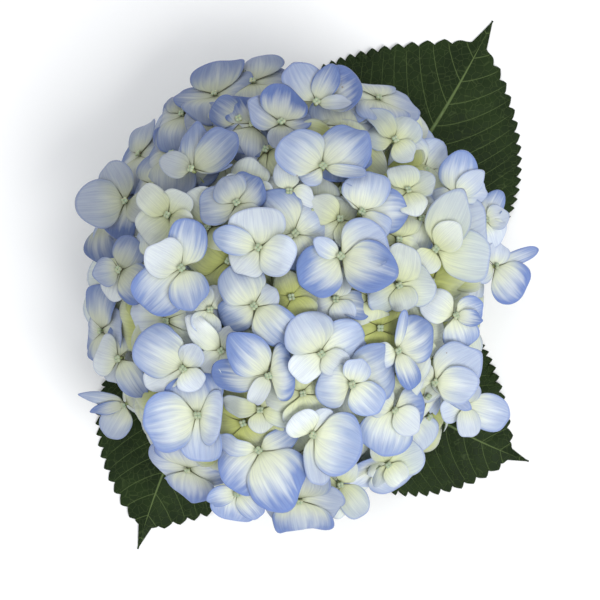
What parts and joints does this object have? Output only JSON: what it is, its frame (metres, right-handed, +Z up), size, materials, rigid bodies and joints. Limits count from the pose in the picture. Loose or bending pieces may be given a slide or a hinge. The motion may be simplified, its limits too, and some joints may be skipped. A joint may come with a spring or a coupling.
{
  "type": "cut hydrangea",
  "caption": "Cut mophead hydrangea lying face up: a dense dome of pale blue and cream four-sepalled florets over three dark green toothed leaves.",
  "frame": {"origin": "bottom centre of the bounding box, on the surface that the flower rests on", "axes": "+Z up, out of the flower's face; +Y towards the tip of the largest leaf, along the longest extent; +X to the right as seen from above"},
  "size_m": [0.1926, 0.2358, 0.0985],
  "materials": {
    "sepals": "soft, thin and slightly translucent sepal: cream at its base, periwinkle blue at its edge",
    "leaf": "dark green, slightly glossy, with pale yellow-green veins",
    "stem": "green half-woody stem with brown lenticels",
    "stalk": "soft pale green flower stalk"
  },
  "bodies": {
    "root": {"stem": "stem", "branched_stalk": "stalk", "leaf_large": "leaf", "leaf_lower": "leaf", "leaf_opposite": "leaf", "crown_floret_1": "sepals", "crown_floret_2": "sepals", "crown_floret_3": "sepals", "crown_floret_4": "sepals", "crown_floret_5": "sepals", "crown_floret_6": "sepals", "crown_floret_7": "sepals", "crown_floret_8": "sepals", "crown_floret_9": "sepals", "crown_floret_10": "sepals", "crown_floret_11": "sepals", "crown_floret_12": "sepals", "crown_floret_13": "sepals", "shoulder_floret_1": "sepals", "shoulder_floret_2": "sepals", "shoulder_floret_3": "sepals", "shoulder_floret_4": "sepals", "shoulder_floret_5": "sepals", "shoulder_floret_6": "sepals", "shoulder_floret_7": "sepals", "shoulder_floret_8": "sepals", "shoulder_floret_9": "sepals", "shoulder_floret_10": "sepals", "shoulder_floret_11": "sepals", "shoulder_floret_12": "sepals", "shoulder_floret_13": "sepals", "shoulder_floret_14": "sepals", "shoulder_floret_15": "sepals", "shoulder_floret_16": "sepals", "shoulder_floret_17": "sepals", "shoulder_floret_18": "sepals", "shoulder_floret_19": "sepals", "shoulder_floret_20": "sepals", "rim_floret_1": "sepals", "rim_floret_2": "sepals", "rim_floret_3": "sepals", "rim_floret_4": "sepals", "rim_floret_5": "sepals", "rim_floret_6": "sepals", "rim_floret_7": "sepals", "rim_floret_8": "sepals", "rim_floret_9": "sepals", "rim_floret_10": "sepals", "rim_floret_11": "sepals", "skirt_floret_1": "sepals", "skirt_floret_2": "sepals", "skirt_floret_3": "sepals", "skirt_floret_4": "sepals", "skirt_floret_5": "sepals", "skirt_floret_6": "sepals", "skirt_floret_7": "sepals", "skirt_floret_8": "sepals", "skirt_floret_9": "sepals", "skirt_floret_10": "sepals"}
  },
  "joints": []
}
